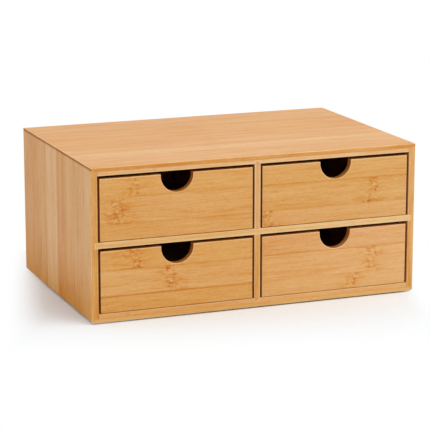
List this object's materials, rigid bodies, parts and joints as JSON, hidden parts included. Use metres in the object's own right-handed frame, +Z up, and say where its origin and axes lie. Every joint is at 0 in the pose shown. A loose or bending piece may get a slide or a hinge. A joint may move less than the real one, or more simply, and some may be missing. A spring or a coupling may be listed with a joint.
{
  "type": "desktop mini drawers",
  "caption": "Low desktop case in pale laminated bamboo, with flush inset drawers in two rows and two columns, each pulled by a half-round finger notch in its upper edge.",
  "frame": {"origin": "middle of the footprint, on the surface that the pads stand on", "axes": "+X to the right across the width, +Y towards the rear so that the drawers pull out along -Y, +Z up"},
  "size_m": [0.33, 0.218, 0.148],
  "materials": {
    "case_board": "satin clear lacquer on laminated bamboo",
    "front_board": "satin clear lacquer on laminated bamboo",
    "drawer_board": "sanded bamboo",
    "thin_board": "sanded thin bamboo board",
    "brad_steel": "bright steel wire",
    "pad_rubber": "matt"
  },
  "bodies": {
    "case": {"top_panel": "case_board", "bottom_panel": "case_board", "left_side_panel": "case_board", "right_side_panel": "case_board", "middle_shelf": "case_board", "upper_divider": "case_board", "lower_divider": "case_board", "back_panel": "thin_board", "back_panel_brads": "brad_steel", "anti_slip_pads": "pad_rubber"},
    "upper_left_drawer": {"upper_left_drawer_front": "front_board", "upper_left_drawer_left_wall": "drawer_board", "upper_left_drawer_right_wall": "drawer_board", "upper_left_drawer_back_wall": "drawer_board", "upper_left_drawer_bottom_board": "thin_board", "upper_left_drawer_brads": "brad_steel"},
    "upper_right_drawer": {"upper_right_drawer_front": "front_board", "upper_right_drawer_left_wall": "drawer_board", "upper_right_drawer_right_wall": "drawer_board", "upper_right_drawer_back_wall": "drawer_board", "upper_right_drawer_bottom_board": "thin_board", "upper_right_drawer_brads": "brad_steel"},
    "lower_left_drawer": {"lower_left_drawer_front": "front_board", "lower_left_drawer_left_wall": "drawer_board", "lower_left_drawer_right_wall": "drawer_board", "lower_left_drawer_back_wall": "drawer_board", "lower_left_drawer_bottom_board": "thin_board", "lower_left_drawer_brads": "brad_steel"},
    "lower_right_drawer": {"lower_right_drawer_front": "front_board", "lower_right_drawer_left_wall": "drawer_board", "lower_right_drawer_right_wall": "drawer_board", "lower_right_drawer_back_wall": "drawer_board", "lower_right_drawer_bottom_board": "thin_board", "lower_right_drawer_brads": "brad_steel"}
  },
  "joints": [
    {"name": "upper_left_drawer_slide", "type": "slide", "parent": "case", "child": "upper_left_drawer", "axis": [0, -1, 0], "range_m": [0, 0.15]},
    {"name": "upper_right_drawer_slide", "type": "slide", "parent": "case", "child": "upper_right_drawer", "axis": [0, -1, 0], "range_m": [0, 0.15]},
    {"name": "lower_left_drawer_slide", "type": "slide", "parent": "case", "child": "lower_left_drawer", "axis": [0, -1, 0], "range_m": [0, 0.15]},
    {"name": "lower_right_drawer_slide", "type": "slide", "parent": "case", "child": "lower_right_drawer", "axis": [0, -1, 0], "range_m": [0, 0.15]}
  ]
}
